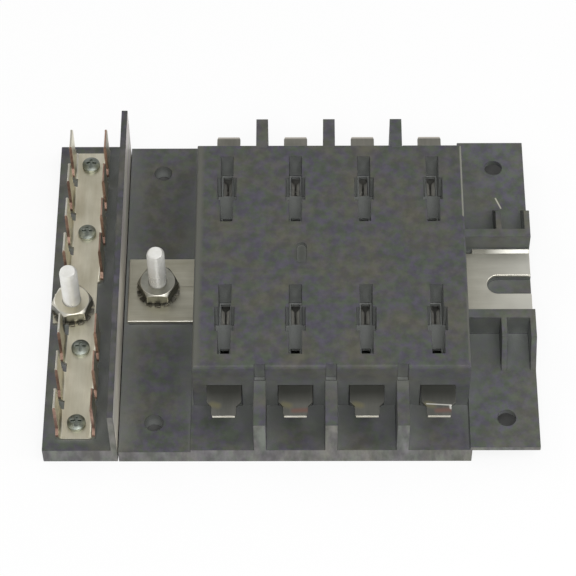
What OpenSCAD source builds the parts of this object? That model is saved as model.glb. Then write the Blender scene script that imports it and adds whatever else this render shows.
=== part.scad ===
// Eight-way blade fuse block with a power bus down the middle and a ground pad on its left side.
// Frame: +X along the fuse columns, +Y to the rear row, +Z up. The origin is the middle of the
// footprint, on the surface that the block is screwed to.

/* [Main base] */
// Width of the moulded base along the fuse columns, without its ear
base_w = 91.1; // [84:0.1:110]
// Depth of the base from its front edge to its rear edge
base_d = 98.2; // [94:0.1:116]
// Thickness of the base under the fuse housing
base_t = 5.7; // [5.4:0.1:8]
// Width of the lower zone that carries the power stud
stud_zone_w = 18.6; // [17:0.1:21]
// How far the stud zone lies below the rest of the base
stud_zone_drop = 0.9; // [0.3:0.1:1.3]
// Distance from the left edge of the base to the power stud and its two panel holes
stud_inset = 9; // [8.2:0.1:9.8]
// Diameter of the four panel screw holes
panel_hole_d = 4.8; // [3.5:0.1:6]
// Distance from the front and rear edges of the base to the panel holes
panel_hole_inset = 8.75; // [6:0.05:12]

/* [Ear] */
// How far the ear reaches past the base on the right
ear_l = 17.45; // [15:0.05:24]
// Thickness of the ear
ear_t = 1.6; // [1.2:0.1:3]
// Height of the ear's top above the base's top
ear_rise = 1.3; // [0.8:0.1:2]
// Clear width of the channel that holds the end of the bus bar
channel_w = 23.2; // [22.2:0.1:30]
// Thickness of the two walls beside that channel
channel_wall_t = 2.7; // [1.5:0.1:4]
// Height of those walls above the ear
channel_wall_h = 7.6; // [3:0.1:9]
// Thickness of the gussets that brace the walls
gusset_t = 1.5; // [1:0.1:3]
// Length of a gusset's level top, from its wall
gusset_flat = 6; // [3:0.1:8]
// Length of a gusset's slope
gusset_slope = 5.5; // [3:0.1:7]

/* [Fuse housing] */
// Distance from the housing's left and right sides to the nearest fuse column
column_inset = 8.1; // [7:0.1:10]
// Depth of the housing from its front face to its rear face
housing_d = 71.2; // [64:0.1:76]
// Height of the housing above the base's top
housing_h = 18.4; // [17.6:0.1:26]
// Strip of base left clear at the housing's left and right sides
housing_inset = 0.7; // [0.3:0.1:1.2]
// Thickness of the housing's side walls
wall_t = 1.8; // [1.4:0.1:1.9]
// Thickness of the housing's roof
roof_t = 2.4; // [1.6:0.1:3.5]
// Radius of the housing's top edges
edge_r = 0.9; // [0.3:0.1:1.4]
// Thickness of the ribs that part the load tabs
rib_t = 3.2; // [2:0.1:4.5]
// Height of those ribs above the base's top
rib_h = 12.2; // [8:0.1:14]
// Width of the groove in the housing's face above each rib
groove_w = 2.8; // [1.5:0.1:4]
// Depth of that groove
groove_d = 1; // [0.4:0.1:1.2]

/* [Fuse sockets] */
// Length of a socket
socket_l = 21.4; // [20.4:0.1:24]
// Width of a socket's two ends
socket_w = 3.4; // [2.6:0.1:4]
// Length of the wider middle of a socket, where the fuse is gripped
grip_l = 7.3; // [5:0.1:9]
// Width of that middle
grip_w = 5.2; // [4.4:0.1:6]
// Depth of a socket below the housing's top
socket_depth = 8.6; // [6:0.1:8.7]
// Distance between the two blades of a fuse
blade_pitch = 13.8; // [13.2:0.1:14.2]
// Thickness of the wall along a socket's sides
socket_side_wall = 1.4; // [1:0.1:2]
// Thickness of the wall across a socket's ends, and of its floor
socket_end_wall = 0.9; // [0.6:0.1:1]

/* [Load terminals] */
// Width of every push-on tab
tab_w = 6.35; // [4.8:0.05:7]
// Width of the shoulder behind each tab
shoulder_w = 8.8; // [7.4:0.1:9.4]
// Thickness of the tab metal
tab_t = 0.8; // [0.5:0.05:1]
// Height of the tab's middle above the base's top
tab_level = 9.3; // [8.6:0.1:10.4]
// How far a tab reaches out of the housing
tab_reach = 9.2; // [8:0.1:12]
// How far its shoulder reaches out of the housing
shoulder_reach = 5; // [2:0.1:6]
// Width of the slim chamfers at a tab's tip
tab_chamfer = 0.25; // [0.2:0.05:0.8]
// Width of a spring clip, along the blade it grips
clip_w = 5.2; // [4:0.1:6]
// Gap at the throat of a spring clip
clip_gap = 0.5; // [0.3:0.05:0.65]
// Thickness of the spring leaves
leaf_t = 0.6; // [0.4:0.05:0.8]

/* [Power bus] */
// Width of the bus bar
bus_w = 20.2; // [17:0.1:20.6]
// Thickness of the bus bar
bus_t = 1; // [0.8:0.1:1.2]
// Distance from the left edge of the base to the bus bar's left end
bus_left_inset = 1; // [0.5:0.1:2]
// Distance from the right edge of the ear to the bus bar's right end
bus_right_inset = 0.1; // [0.1:0.1:2]
// Height of the seat under the bar's right end, above the ear
bus_seat_h = 1.1; // [0.3:0.1:2]
// How far the long edges of the bar's right end turn up
bus_lip_h = 0.5; // [0.2:0.1:1]
// Width of the open slot in the bus bar's right end
link_slot_w = 5.8; // [4.9:0.05:7]
// Length of that slot
link_slot_l = 11.7; // [8:0.1:13]
// Thickness of the straps that carry the bus clips
strap_t = 0.8; // [0.6:0.1:1]
// Width of those straps
strap_w = 7; // [5.8:0.1:8]
// Diameter of the rivets that hold them
rivet_d = 3; // [2.4:0.1:3.6]

/* [Studs and nuts] */
// Thread diameter of the studs
stud_d = 4.76; // [4.2:0.02:5]
// Height of the studs' tips above the panel
stud_top = 24.2; // [22:0.1:28]
// Width across flats of the studs' heads and of the nuts
hex_af = 9.53; // [8.8:0.01:10]
// Height of a stud's head
stud_head_h = 1.7; // [1.2:0.1:2]
// Height of a nut's hexagon
nut_h = 3.4; // [2.6:0.1:4.5]
// Diameter of a nut's toothed washer
washer_d = 11.6; // [10.4:0.1:12]
// Thickness of that washer
washer_t = 0.8; // [0.5:0.1:1.2]
// How far the ground nut is turned from square
ground_nut_angle = 10; // [0:1:59]

/* [Ground pad] */
// Width of the ground pad
pad_w = 19.3; // [18.6:0.1:26]
// Thickness of the divider wall on the pad's right edge
divider_t = 1.6; // [1:0.1:2]
// Height of the divider wall above the pad's top
divider_h = 16.25; // [10:0.05:24]
// Seam between the ground pad and the base
seam = 0.25; // [0.1:0.05:0.5]
// Distance from the pad's left edge to the middle of the ground strip
strip_inset = 8.65; // [8.2:0.05:8.9]
// Distance from the ends of the ground strip to the front and rear edges of the pad
strip_end_inset = 3; // [1:0.1:6]
// Width of the strip's flat floor
strip_floor_w = 6.9; // [5.6:0.1:7.4]
// Overall width of the strip across its upturned tabs
strip_w = 10.2; // [9.6:0.1:10.8]
// Height of the upturned tabs above the pad
ground_tab_h = 13.5; // [8:0.1:15]
// Height of their shoulders above the pad
ground_shoulder_h = 2.6; // [2:0.1:4]
// Distance from the ends of the strip to the outermost ground tabs
ground_tab_inset = 4.45; // [4.4:0.05:6]
// Distance between the two ground tabs beside the ground stud
ground_stud_bay = 25.8; // [22:0.1:30]
// Distance from the ground strip's middle to the ground stud, along X
ground_stud_side = 2.7; // [2:0.1:3]
// Width of the lug under the ground stud
lug_w = 9.4; // [8:0.1:10.4]
// Distance from the strip's middle to the lug's outer end
lug_reach = 7.8; // [7:0.1:8]

/* [Small screws] */
// Diameter of a screw's head
screw_head_d = 4.8; // [4.2:0.1:5.6]
// Height of a screw's head
screw_head_h = 1.6; // [1.2:0.1:2]
// Diameter of a screw's shank
screw_d = 2.7; // [2.2:0.1:3]

/* [Hidden] */
// Counts that the photographed block has
columns = 4;
ground_tabs = 4;
washer_teeth = 14;

// Clearances between pieces
fit_gap = 0.1;
slip_gap = 0.05;
run_gap = 0.07;
side_gap = 0.25;
cup_gap = 0.35;
// How far two shapes of one piece run into each other where they join
bite = 0.2;

// Places along X
overall_w = pad_w + seam + base_w + ear_l;
pad_x0 = -overall_w / 2;
pad_x1 = pad_x0 + pad_w;
base_x0 = pad_x1 + seam;
base_x1 = base_x0 + base_w;
ear_x1 = base_x1 + ear_l;
zone_x0 = base_x0 + stud_zone_w;
housing_w = base_w - stud_zone_w - 2 * housing_inset;
housing_cx = (zone_x0 + base_x1) / 2;
housing_x0 = housing_cx - housing_w / 2;
housing_x1 = housing_cx + housing_w / 2;
stud_x = base_x0 + stud_inset;
// The ear's panel holes lie one base width on, where the next block of a row has its own
gang_pitch = base_w + fit_gap;
ear_hole_x = stud_x + gang_pitch;
strip_x = pad_x0 + strip_inset;
ground_stud_x = strip_x - ground_stud_side;
column_pitch = (housing_w - 2 * column_inset) / (columns - 1);
function column_x(i) = housing_cx + (i - (columns - 1) / 2) * column_pitch;
function rib_x(i) = housing_cx + (i - (columns - 2) / 2) * column_pitch;

// Places along Y on the ground pad. The stud takes the place of the innermost front tab.
panel_hole_y = base_d / 2 - panel_hole_inset;
strip_end_y = base_d / 2 - strip_end_inset;
ground_tab_far = strip_end_y - ground_tab_inset;
ground_tab_pitch = (2 * ground_tab_far - ground_stud_bay) / (2 * ground_tabs - 3);
front_tab_ys = [for (k = [0:ground_tabs - 2]) -ground_tab_far + k * ground_tab_pitch];
rear_tab_ys = [for (k = [0:ground_tabs - 1]) ground_tab_far - k * ground_tab_pitch];
ground_tab_ys = concat(front_tab_ys, rear_tab_ys);
ground_stud_y = (front_tab_ys[ground_tabs - 2] + rear_tab_ys[ground_tabs - 1]) / 2;
ground_screw_ys = [rear_tab_ys[0], rear_tab_ys[2], front_tab_ys[2], front_tab_ys[0]];

// Heights
stud_zone_z = base_t - stud_zone_drop;
ear_z = base_t + ear_rise;
bar_end_z = ear_z + bus_seat_h;
housing_z = base_t + housing_h;
socket_z = housing_z - socket_depth;
socket_under_z = socket_z - socket_end_wall;
tab_z = base_t + tab_level - tab_t / 2;
bus_z = base_t + bus_t;
strap_z = bus_z + strap_t;
stud_seat_z = 2;
strip_z = base_t + tab_t;

// Housing details
housing_y = housing_d / 2;
leg_out_y = housing_y - wall_t - side_gap;
leg_in_y = leg_out_y - tab_t;
socket_y = leg_in_y - cup_gap - socket_end_wall - socket_l / 2;
post_w = shoulder_w;
window_l = clip_w + 1;
window_w = 2.2;
boss_d = 7;
boss_y = socket_y;
boss_columns = [0, columns - 2];
mark_l = 6.6;
mark_w = 2.7;
mark_depth = 1.2;
mark_offset = 7.5;
ear_root_w = wall_t + 0.2;
arc_steps = 6;

// Terminal details
foot_in_y = socket_y + blade_pitch / 2 - clip_w / 2;
bend_r = 0.5;
foot_w = 6;
clip_top_z = socket_under_z - 0.4;
flare_h = 1.3;
flare_w = 0.9;
bus_clip_y = socket_y - blade_pitch / 2;
bus_joggle_l = 1.9;
bus_lip_gap = 0.4;
bus_lip_start = 2.6;
// How far the raised seats under the bar's ends stay inside the bar's edges
seat_inset = 0.4;

// Fasteners and their holes
stud_neck_d = stud_d + 0.24;
stud_hole_d = stud_neck_d + 2 * slip_gap;
stud_tip_chamfer = 0.8;
head_pocket_af = hex_af + 4 * fit_gap;
nut_bore_d = stud_d + 2 * run_gap;
washer_bore_d = stud_d + 6 * run_gap;
washer_tooth_l = 1.5;
washer_slot_w = 0.9;
nut_corner_drop = 0.7;
rivet_head_d = rivet_d + 2;
rivet_head_h = 1;
screw_hole_d = screw_d + 2 * slip_gap;
housing_screw_head_z = 0.3;
housing_screw_top = socket_z;
screw_pocket_d = screw_head_d + 6 * fit_gap;
ground_screw_end = 1.2;
recess_l = 2.8;
recess_w = 0.7;
recess_depth = 0.9;

// Dovetail keys that hold the ground pad to the base
key_y = 25;
key_l = 3.6;
key_neck = 6;
key_end = 9;
key_h = 3.4;

plastic = [0.16, 0.17, 0.165];
tin = [0.62, 0.60, 0.54];
brass_plate = [0.66, 0.65, 0.58];
zinc = [0.74, 0.73, 0.68];
steel = [0.45, 0.44, 0.40];

$fn = 48;

// A box given by its low corner and its high corner
module span(low, high) {
    translate(low) cube(high - low);
}

// A hexagon whose flats face the front and the rear
module hexagon(across_flats) {
    circle(d = across_flats / cos(30), $fn = 6);
}

// A rectangle standing on its lower side, with its two top corners rounded
module round_top(w, h, r) {
    arc = [for (k = [0:arc_steps]) 90 * k / arc_steps];
    right = [for (a = arc) [w / 2 - r + r * cos(a), h - r + r * sin(a)]];
    left = [for (a = arc) [-w / 2 + r - r * sin(a), h - r + r * cos(a)]];
    polygon(concat([[-w / 2, 0], [w / 2, 0]], right, left));
}

// A quarter of a ring in the first quadrant, which is a bend seen end on
module quarter_bend(inner_r, t) {
    intersection() {
        difference() {
            circle(r = inner_r + t);
            circle(r = inner_r);
        }
        square(inner_r + t);
    }
}

// The mould gives every panel hole the same straight wall
module panel_holes() {
    for (x = [stud_x, ear_hole_x], side = [-1, 1])
        translate([x, side * panel_hole_y, -1]) cylinder(d = panel_hole_d, h = ear_z + 2);
}

// Pocket under a stud: a hexagon for the head, then a round hole for the neck
module stud_pocket() {
    translate([0, 0, -1]) linear_extrude(stud_seat_z + 1) hexagon(head_pocket_af);
    cylinder(d = stud_hole_d, h = base_t + 1);
}

// Outline of one dovetail key from above, grown all round by a clearance
module key_outline(gap) {
    polygon([
        [-1, -key_neck / 2 - gap], [0, -key_neck / 2 - gap],
        [seam + key_l + gap, -key_end / 2 - gap], [seam + key_l + gap, key_end / 2 + gap],
        [0, key_neck / 2 + gap], [-1, key_neck / 2 + gap]
    ]);
}

module keys(gap, h) {
    for (side = [-1, 1])
        translate([pad_x1, side * key_y, 0]) linear_extrude(h) key_outline(gap);
}

// Brace behind a channel wall, seen along X: level top, then a slope down to the ear
module gusset_outline() {
    foot = channel_w / 2 + channel_wall_t;
    polygon([
        [foot - bite, -bite], [foot + gusset_flat + gusset_slope, -bite],
        [foot + gusset_flat + gusset_slope, 0], [foot + gusset_flat, channel_wall_h],
        [foot - bite, channel_wall_h]
    ]);
}

module gusset(x) {
    for (side = [0, 1])
        mirror([0, side, 0]) translate([x, 0, ear_z])
            rotate([90, 0, 90]) linear_extrude(gusset_t, center = true) gusset_outline();
}

// The ear with the walls of its channel, their braces and the seat of the bar's right end
module ear() {
    x0 = housing_x1 + fit_gap;
    span([x0, -base_d / 2, ear_z - ear_t], [ear_x1, base_d / 2, ear_z]);
    span([housing_x1 - ear_root_w, -housing_y + wall_t + side_gap, base_t - 1],
        [x0 + bite, housing_y - wall_t - side_gap, ear_z]);
    for (side = [0, 1])
        mirror([0, side, 0])
            span([x0, channel_w / 2, ear_z - bite],
                [ear_x1, channel_w / 2 + channel_wall_t, ear_z + channel_wall_h]);
    gusset(ear_hole_x);
    gusset(ear_x1 - gusset_t / 2);
    difference() {
        span([housing_x1 - ear_root_w, -bus_w / 2 + seat_inset, ear_z - bite],
            [ear_x1, bus_w / 2 - seat_inset, bar_end_z]);
        link_slot(ear_z);
    }
}

// The ribs outside the housing, and the posts that fill its wall below each tab
module ribs_and_posts() {
    for (side = [0, 1])
        mirror([0, side, 0]) {
            for (i = [0:columns - 2])
                span([rib_x(i) - rib_t / 2, housing_y + fit_gap, base_t - 1],
                    [rib_x(i) + rib_t / 2, base_d / 2, base_t + rib_h]);
            for (i = [0:columns - 1])
                span([column_x(i) - post_w / 2, housing_y - wall_t, base_t - 1],
                    [column_x(i) + post_w / 2, housing_y, tab_z]);
        }
}

module main_base() {
    color(plastic)
    difference() {
        union() {
            span([base_x0, -base_d / 2, 0], [zone_x0 + bite, base_d / 2, stud_zone_z]);
            span([zone_x0, -base_d / 2, 0], [base_x1, base_d / 2, base_t]);
            span([base_x0 + bus_left_inset + seat_inset, -bus_w / 2 + seat_inset, stud_zone_z - 1],
                [zone_x0 + 1, bus_w / 2 - seat_inset, base_t]);
            ear();
            ribs_and_posts();
        }
        panel_holes();
        translate([stud_x, 0, 0]) stud_pocket();
        keys(fit_gap, key_h + 2 * fit_gap);
        for (i = [0:columns - 1])
            translate([column_x(i), 0, base_t - rivet_head_h - fit_gap])
                cylinder(d = rivet_head_d + 4 * fit_gap, h = rivet_head_h + 1);
        housing_screw_places() {
            translate([0, 0, -1]) cylinder(d = screw_pocket_d, h = 1 + housing_screw_head_z + screw_head_h);
            cylinder(d = screw_hole_d, h = base_t + 1);
        }
    }
}

module ground_pad() {
    color(plastic)
    difference() {
        union() {
            span([pad_x0, -base_d / 2, 0], [pad_x1, base_d / 2, base_t]);
            span([pad_x1 - divider_t, -base_d / 2, base_t - 1], [pad_x1, base_d / 2, base_t + divider_h]);
            keys(0, key_h);
        }
        translate([ground_stud_x, ground_stud_y, 0]) stud_pocket();
        ground_screw_places()
            translate([0, 0, ground_screw_end - fit_gap]) cylinder(d = screw_hole_d, h = base_t);
    }
}

// Cross-shaped mouth of a socket, wide in the middle for the fuse's grip
module socket_outline() {
    square([socket_w, socket_l], center = true);
    square([grip_w, grip_l], center = true);
}

module socket_places() {
    for (i = [0:columns - 1], side = [-1, 1])
        translate([column_x(i), side * socket_y, 0]) children();
}

module housing_screw_places() {
    for (i = boss_columns, side = [-1, 1])
        translate([rib_x(i), side * boss_y, 0]) children();
}

module housing_outside() {
    intersection() {
        translate([housing_cx, housing_y, base_t])
            rotate([90, 0, 0]) linear_extrude(housing_d) round_top(housing_w, housing_h, edge_r);
        translate([housing_x0, 0, base_t])
            rotate([90, 0, 90]) linear_extrude(housing_w) round_top(housing_d, housing_h, edge_r);
    }
}

// Hollow under the roof, left open at the bottom, with a cup round each socket and four screw bosses
module housing_hollow() {
    cup_w = grip_w + 2 * socket_side_wall;
    cup_l = socket_l + 2 * socket_end_wall;
    difference() {
        span([housing_x0 + wall_t, -housing_y + wall_t, base_t - 1],
            [housing_x1 - wall_t, housing_y - wall_t, housing_z - roof_t]);
        socket_places()
            span([-cup_w / 2, -cup_l / 2, socket_under_z], [cup_w / 2, cup_l / 2, housing_z]);
        housing_screw_places()
            translate([0, 0, base_t]) cylinder(d = boss_d, h = housing_h);
    }
}

module fuse_housing() {
    color(plastic)
    difference() {
        housing_outside();
        housing_hollow();
        socket_places() {
            translate([0, 0, socket_z]) linear_extrude(socket_depth + 1) socket_outline();
            for (side = [-1, 1])
                translate([-window_w / 2, side * blade_pitch / 2 - window_l / 2, socket_under_z - 1])
                    cube([window_w, window_l, socket_end_wall + 2]);
        }
        for (i = [0:columns - 1], side = [0, 1])
            mirror([0, side, 0])
                span([column_x(i) - post_w / 2 - fit_gap, housing_y - wall_t - 1, base_t - 1],
                    [column_x(i) + post_w / 2 + fit_gap, housing_y + 1, tab_z + tab_t + fit_gap]);
        for (i = [0:columns - 2], side = [0, 1])
            mirror([0, side, 0])
                span([rib_x(i) - groove_w / 2, housing_y - groove_d, base_t + rib_h],
                    [rib_x(i) + groove_w / 2, housing_y + 1, housing_z + 1]);
        span([housing_x0 - 1, -bus_w / 2 - fit_gap, base_t - 1],
            [housing_x0 + wall_t + 1, bus_w / 2 + fit_gap, bus_z + fit_gap]);
        span([housing_x1 - wall_t - 1, -bus_w / 2 - fit_gap, base_t - 1],
            [housing_x1 + 1, bus_w / 2 + fit_gap, bar_end_z + bus_t + fit_gap]);
        span([housing_x1 - wall_t - 1, -housing_y + wall_t, base_t - 1],
            [housing_x1 + 1, housing_y - wall_t, ear_z]);
        housing_screw_places()
            cylinder(d = screw_hole_d, h = housing_screw_top + fit_gap);
        translate([housing_cx - mark_offset, 0, housing_z - mark_depth])
            for (side = [-1, 1]) {
                translate([0, side * (mark_l - mark_w) / 2, 0]) cylinder(d = mark_w, h = mark_depth + 1);
                translate([-mark_w / 2, -(mark_l - mark_w) / 2, 0])
                    cube([mark_w, mark_l - mark_w, mark_depth + 1]);
            }
    }
}

// Open slot for the screw of a link, from a height upwards
module link_slot(low_z) {
    round_x = ear_x1 - bus_right_inset - link_slot_l + link_slot_w / 2;
    translate([round_x, 0, low_z]) cylinder(d = link_slot_w, h = housing_z);
    span([round_x, -link_slot_w / 2, low_z], [ear_x1 + 1, link_slot_w / 2, housing_z]);
}

// Turned-up edge of the bar's right end, seen along X
module bus_lip_outline() {
    edge_y = bus_w / 2;
    lip_y = channel_w / 2 - bus_lip_gap;
    polygon([
        [edge_y - bite, bar_end_z], [edge_y, bar_end_z], [lip_y, bar_end_z + bus_lip_h],
        [lip_y, bar_end_z + bus_lip_h + bus_t], [edge_y, bar_end_z + bus_t],
        [edge_y - bite, bar_end_z + bus_t]
    ]);
}

module bus_lips() {
    x0 = housing_x1 + bus_lip_start;
    for (side = [0, 1])
        mirror([0, side, 0]) translate([x0, 0, 0])
            rotate([90, 0, 90]) linear_extrude(ear_x1 - bus_right_inset - x0) bus_lip_outline();
}

// The bar seen from the front: level along the base, then a joggle up on to the ear's seat
module bus_profile() {
    x0 = base_x0 + bus_left_inset;
    x1 = ear_x1 - bus_right_inset;
    up_x = housing_x1 - ear_root_w - side_gap;
    polygon([
        [x0, base_t], [up_x - bus_joggle_l, base_t], [up_x, bar_end_z], [x1, bar_end_z],
        [x1, bar_end_z + bus_t], [up_x - bus_t / 3, bar_end_z + bus_t],
        [up_x - bus_joggle_l - bus_t / 3, bus_z], [x0, bus_z]
    ]);
}

module bus_bar() {
    color(brass_plate)
    difference() {
        union() {
            translate([0, bus_w / 2, 0]) rotate([90, 0, 0]) linear_extrude(bus_w) bus_profile();
            bus_lips();
        }
        translate([stud_x, 0, 0]) cylinder(d = stud_hole_d, h = housing_z);
        for (i = [0:columns - 1])
            translate([column_x(i), 0, 0]) cylinder(d = rivet_d + 2 * slip_gap, h = housing_z);
        link_slot(0);
    }
}

// One spring leaf seen along the blade: it leans in from the foot to the throat, then flares out
module leaf_outline(foot_z) {
    throat = clip_gap / 2;
    throat_z = clip_top_z - flare_h;
    foot_x = foot_w / 2;
    polygon([
        [foot_x - leaf_t, foot_z], [foot_x, foot_z], [foot_x, foot_z + 1],
        [throat + leaf_t, throat_z], [throat + leaf_t + flare_w, clip_top_z],
        [throat + flare_w, clip_top_z], [throat, throat_z], [foot_x - leaf_t, foot_z + 1]
    ]);
}

module spring_leaves(y, foot_z) {
    for (side = [0, 1])
        mirror([side, 0, 0]) translate([0, y + clip_w / 2, 0])
            rotate([90, 0, 0]) linear_extrude(clip_w) leaf_outline(foot_z);
}

// Outline of a tab from its root to its tip, drawn along +Y from the shoulder's inner end
module tab_outline(shoulder_l, full_l) {
    tip = tab_w / 2 - tab_chamfer;
    chamfer_l = 3 * tab_chamfer;
    polygon([
        [-shoulder_w / 2, 0], [shoulder_w / 2, 0], [shoulder_w / 2, shoulder_l],
        [tab_w / 2, shoulder_l + (shoulder_w - tab_w) / 2], [tab_w / 2, full_l - chamfer_l],
        [tip, full_l], [-tip, full_l], [-tab_w / 2, full_l - chamfer_l],
        [-tab_w / 2, shoulder_l + (shoulder_w - tab_w) / 2], [-shoulder_w / 2, shoulder_l]
    ]);
}

// Stamped terminal: level tab, bend, leg down behind the housing wall, foot on the base, spring clip
module load_terminal(i, rear) {
    inner_y = leg_in_y - bend_r;
    color(tin)
    mirror([0, rear ? 0 : 1, 0])
    translate([column_x(i), 0, 0]) {
        translate([0, leg_out_y, tab_z]) linear_extrude(tab_t)
            tab_outline(housing_y + shoulder_reach - leg_out_y, housing_y + tab_reach - leg_out_y);
        translate([-foot_w / 2, leg_in_y, base_t + tab_t + bend_r])
            cube([foot_w, tab_t, tab_z - base_t - bend_r]);
        translate([-foot_w / 2, inner_y, base_t + tab_t + bend_r])
            rotate([0, 90, 0]) linear_extrude(foot_w) quarter_bend(bend_r, tab_t);
        span([-foot_w / 2, foot_in_y, base_t], [foot_w / 2, inner_y, base_t + tab_t]);
        spring_leaves(socket_y + blade_pitch / 2, base_t);
    }
}

// Strap across the bus bar with a spring clip at each end, one for the front row and one for the rear
module bus_clip(i) {
    end_y = bus_clip_y + clip_w / 2;
    color(tin)
    translate([column_x(i), 0, 0])
    difference() {
        union() {
            span([-strap_w / 2, -bus_clip_y + clip_w / 2, bus_z],
                [strap_w / 2, bus_clip_y - clip_w / 2, strap_z]);
            span([-foot_w / 2, -end_y, bus_z], [foot_w / 2, end_y, strap_z]);
            spring_leaves(bus_clip_y, bus_z);
            spring_leaves(-bus_clip_y, bus_z);
        }
        cylinder(d = rivet_d + 2 * slip_gap, h = housing_z);
    }
}

module bus_rivet(i) {
    color(brass_plate)
    translate([column_x(i), 0, 0]) {
        translate([0, 0, base_t - rivet_head_h]) cylinder(d = rivet_head_d, h = rivet_head_h);
        translate([0, 0, base_t - bite]) cylinder(d = rivet_d, h = strap_z - base_t + 2 * bite);
        translate([0, 0, strap_z])
            rotate_extrude() intersection() {
                translate([0, rivet_head_h - rivet_head_d / 2 - 0.6]) circle(d = rivet_head_d + 1.2);
                square([rivet_head_d / 2, rivet_head_h]);
            }
    }
}

module stud() {
    color(zinc) {
        translate([0, 0, stud_seat_z - stud_head_h]) linear_extrude(stud_head_h) hexagon(hex_af);
        translate([0, 0, stud_seat_z - bite]) {
            cylinder(d = stud_neck_d, h = base_t - stud_seat_z);
            cylinder(d = stud_d, h = stud_top - stud_tip_chamfer - stud_seat_z + bite);
        }
        translate([0, 0, stud_top - stud_tip_chamfer])
            cylinder(d1 = stud_d, d2 = stud_d - 1.6 * stud_tip_chamfer, h = stud_tip_chamfer);
    }
}

module power_stud() {
    translate([stud_x, 0, 0]) stud();
}

module ground_stud() {
    translate([ground_stud_x, ground_stud_y, 0]) stud();
}

// Toothed lock washer that turns freely under its nut
module toothed_washer() {
    tooth_turn = 360 / washer_teeth;
    color(steel)
    difference() {
        cylinder(d = washer_d, h = washer_t);
        translate([0, 0, -1]) cylinder(d = washer_bore_d, h = washer_t + 2);
        for (k = [0:washer_teeth - 1])
            rotate(k * tooth_turn) translate([washer_d / 2 - washer_tooth_l, -washer_slot_w / 2, -1])
                cube([washer_tooth_l + 1, washer_slot_w, washer_t + 2]);
    }
}

// Hexagon nut with its top corners turned off
module hex_nut() {
    corner = hex_af / cos(30) / 2;
    color(steel)
    difference() {
        intersection() {
            linear_extrude(nut_h) hexagon(hex_af);
            rotate_extrude() polygon([
                [0, 0], [corner + 0.1, 0], [corner + 0.1, nut_h - nut_corner_drop],
                [hex_af / 2 - 0.2, nut_h], [0, nut_h]
            ]);
        }
        translate([0, 0, -1]) cylinder(d = nut_bore_d, h = nut_h + 2);
    }
}

module power_washer() {
    translate([stud_x, 0, bus_z]) toothed_washer();
}

module power_nut() {
    translate([stud_x, 0, bus_z + washer_t]) hex_nut();
}

module ground_washer() {
    translate([ground_stud_x, ground_stud_y, strip_z]) toothed_washer();
}

module ground_nut() {
    translate([ground_stud_x, ground_stud_y, strip_z + washer_t]) rotate(ground_nut_angle) hex_nut();
}

module ground_screw_places() {
    for (y = ground_screw_ys) translate([strip_x, y, 0]) children();
}

// One upturned tab on the strip's right side: floor, bend, then the standing blade
module upturned_tab() {
    r = (strip_w - strip_floor_w) / 2 - tab_t;
    bend_x = strip_w / 2 - r - tab_t;
    translate([bend_x - bite, -shoulder_w / 2, 0]) cube([bite, shoulder_w, tab_t]);
    translate([bend_x, shoulder_w / 2, r + tab_t])
        rotate([90, 0, 0]) linear_extrude(shoulder_w) mirror([0, 1]) quarter_bend(r, tab_t);
    translate([strip_w / 2 - tab_t, 0, r + tab_t])
        rotate([90, 0, 90]) linear_extrude(tab_t)
            tab_outline(ground_shoulder_h - r - tab_t, ground_tab_h - r - tab_t);
}

module ground_strip() {
    color(tin)
    difference() {
        translate([strip_x, 0, base_t]) {
            span([-strip_floor_w / 2, -strip_end_y, 0], [strip_floor_w / 2, strip_end_y, tab_t]);
            span([-lug_reach, ground_stud_y - lug_w / 2, 0], [0, ground_stud_y + lug_w / 2, tab_t]);
            for (y = ground_tab_ys, side = [0, 1])
                translate([0, y, 0]) mirror([side, 0, 0]) upturned_tab();
        }
        ground_screw_places() cylinder(d = screw_hole_d, h = housing_z);
        translate([ground_stud_x, ground_stud_y, 0]) cylinder(d = stud_hole_d, h = housing_z);
    }
}

// Cross cut for a screwdriver, sunk from the head's top at z = 0
module cross_recess() {
    for (turn = [0, 90])
        rotate(turn) translate([-recess_l / 2, -recess_w / 2, -recess_depth])
            cube([recess_l, recess_w, recess_depth + 1]);
}

module ground_screw(k) {
    head_r = screw_head_d / 2;
    color(zinc)
    translate([strip_x, ground_screw_ys[k], 0])
    difference() {
        union() {
            translate([0, 0, ground_screw_end]) cylinder(d = screw_d, h = strip_z - ground_screw_end + bite);
            translate([0, 0, strip_z]) rotate_extrude() intersection() {
                translate([0, screw_head_h - 2 * head_r]) circle(r = 2 * head_r);
                square([head_r, screw_head_h]);
            }
        }
        translate([0, 0, strip_z + screw_head_h]) cross_recess();
    }
}

module housing_screw(k) {
    x = rib_x(boss_columns[k % 2]);
    y = (k < 2 ? -1 : 1) * boss_y;
    head_top = housing_screw_head_z + screw_head_h;
    color(zinc)
    translate([x, y, 0])
    difference() {
        union() {
            translate([0, 0, housing_screw_head_z]) cylinder(d = screw_head_d, h = screw_head_h);
            translate([0, 0, head_top - bite]) cylinder(d = screw_d, h = housing_screw_top - head_top);
        }
        translate([0, 0, housing_screw_head_z]) mirror([0, 0, 1]) cross_recess();
    }
}

ground_pad();
main_base();
fuse_housing();
bus_bar();
ground_strip();
power_stud();
power_washer();
power_nut();
ground_stud();
ground_washer();
ground_nut();
for (i = [1:columns]) {
    load_terminal(i - 1, false);
    load_terminal(i - 1, true);
    bus_clip(i - 1);
    bus_rivet(i - 1);
    ground_screw(i - 1);
    housing_screw(i - 1);
}
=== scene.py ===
from math import cos, pi, radians, sin

import bmesh
import bpy
from mathutils import Matrix, Vector


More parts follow.
